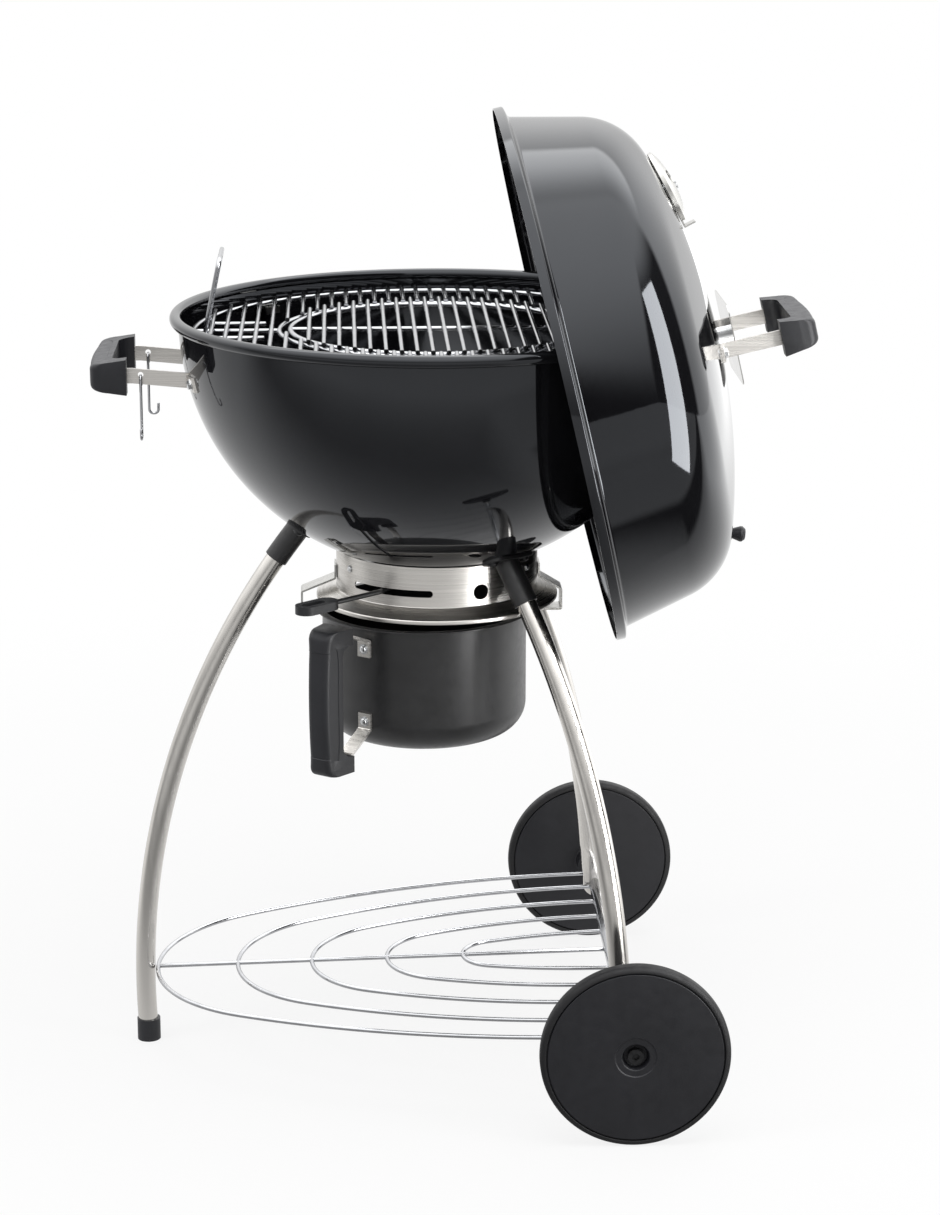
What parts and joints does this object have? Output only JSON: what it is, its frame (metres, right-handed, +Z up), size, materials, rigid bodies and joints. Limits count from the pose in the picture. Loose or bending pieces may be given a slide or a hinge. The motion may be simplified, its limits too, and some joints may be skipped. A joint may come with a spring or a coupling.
{
  "type": "kettle charcoal grill",
  "caption": "Kettle charcoal grill on curved legs and wheels, its domed lid hung on the bowl, with grates, ash sweeper, ash can and wire shelf.",
  "frame": {"origin": "on the ground, under the middle of the whole grill as it stands with its lid hung on the side", "axes": "+X from the bowl handle to the hung lid and the wheels, +Z up, -Y to the side that the ash lever and the ash can handle face"},
  "size_m": [0.775, 0.622, 1.048],
  "materials": {
    "black_enamel": "glossy black porcelain enamel",
    "black_paint": "satin black heat-proof paint",
    "satin_black": "satin black heat-proof paint",
    "leg_steel": "satin stainless tube",
    "brushed_steel": "brushed stainless sheet",
    "plated_steel": "zinc-plated sheet",
    "chromed_wire": "chromed wire",
    "mirror_steel": "mirror-polished stainless sheet",
    "black_plastic": "fine-grained black plastic",
    "wheel_plastic": "matt black plastic",
    "wheel_rubber": "smooth black rubber",
    "black_screws": "black oxide screws",
    "bright_fixings": "bright fixings"
  },
  "bodies": {
    "stand": {"bowl": "black_enamel", "grate_supports": "plated_steel", "coal_supports": "plated_steel", "bowl_grip": "black_plastic", "bowl_arm_near": "brushed_steel", "bowl_arm_far": "brushed_steel", "bowl_handle_bolts": "bright_fixings", "ash_ring": "brushed_steel", "ring_rivets": "bright_fixings", "can_clip_left": "plated_steel", "can_clip_right": "plated_steel", "leg_socket_front": "black_paint", "leg_socket_near": "black_paint", "leg_socket_far": "black_paint", "socket_bolts": "black_screws", "leg_front": "leg_steel", "leg_near": "leg_steel", "leg_far": "leg_steel", "front_foot": "black_plastic", "shelf_rack": "chromed_wire", "axle": "plated_steel", "wheel_spacers": "plated_steel", "axle_screws": "black_screws"},
    "lid": {"lid_shell": "black_enamel", "vent_rivet": "bright_fixings", "lid_knob": "black_plastic", "lid_hook": "plated_steel", "lid_grip": "black_plastic", "lid_arm_near": "brushed_steel", "lid_arm_far": "brushed_steel", "lid_handle_bolts": "bright_fixings", "lid_shield": "mirror_steel", "shield_posts": "bright_fixings"},
    "vent_damper": {"vent_damper": "brushed_steel"},
    "cooking_grate": {"cooking_grate": "chromed_wire"},
    "grate_insert": {"grate_insert": "chromed_wire"},
    "coal_grate": {"coal_grate": "chromed_wire"},
    "sweeper": {"sweeper_blades": "plated_steel", "sweeper_shaft": "plated_steel", "sweeper_nut": "bright_fixings", "sweeper_lever": "satin_black", "lever_grip": "black_plastic"},
    "ash_can": {"ash_can": "satin_black", "can_grip": "black_plastic", "can_bracket_top": "brushed_steel", "can_bracket_bottom": "brushed_steel", "can_screws": "bright_fixings"},
    "tool_hook_near": {"tool_hook_near": "chromed_wire"},
    "tool_hook_far": {"tool_hook_far": "chromed_wire"},
    "wheel_near": {"wheel_near": "wheel_plastic", "tyre_near": "wheel_rubber"},
    "wheel_far": {"wheel_far": "wheel_plastic", "tyre_far": "wheel_rubber"}
  },
  "joints": [
    {"name": "lid_lift", "type": "slide", "parent": "stand", "child": "lid", "axis": [0.7071, 0, 0.7071], "range_m": [0, 0.42]},
    {"name": "vent_turn", "type": "hinge", "parent": "lid", "child": "vent_damper", "pos_m": [0.22474, 0, 0.96254], "axis": [0.8842, 0, 0.4671], "range_deg": [-60, 60]},
    {"name": "grate_lift", "type": "slide", "parent": "stand", "child": "cooking_grate", "axis": [0, 0, 1], "range_m": [0, 0.04]},
    {"name": "insert_lift", "type": "slide", "parent": "cooking_grate", "child": "grate_insert", "axis": [0, 0, 1], "range_m": [0, 0.06]},
    {"name": "coal_lift", "type": "slide", "parent": "stand", "child": "coal_grate", "axis": [0, 0, 1], "range_m": [0, 0.12]},
    {"name": "sweep_turn", "type": "hinge", "parent": "stand", "child": "sweeper", "pos_m": [-0.01795, 0, 0.547], "axis": [0, 0, 1], "range_deg": [-18, 26]},
    {"name": "can_turn", "type": "hinge", "parent": "stand", "child": "ash_can", "pos_m": [-0.03195, 0, 0.44], "axis": [0, 0, 1], "range_deg": [0, 30]},
    {"name": "hook_swing_near", "type": "hinge", "parent": "stand", "child": "tool_hook_near", "pos_m": [-0.33095, -0.066, 0.777], "axis": [0, 1, 0], "range_deg": [-18, 30]},
    {"name": "hook_swing_far", "type": "hinge", "parent": "stand", "child": "tool_hook_far", "pos_m": [-0.33095, 0.066, 0.777], "axis": [0, 1, 0], "range_deg": [-18, 30]},
    {"name": "wheel_spin_near", "type": "hinge", "parent": "stand", "child": "wheel_near", "pos_m": [0.17805, -0.302, 0.1], "axis": [0, 1, 0], "continuous": true},
    {"name": "wheel_spin_far", "type": "hinge", "parent": "stand", "child": "wheel_far", "pos_m": [0.17805, 0.302, 0.1], "axis": [0, 1, 0], "continuous": true}
  ]
}
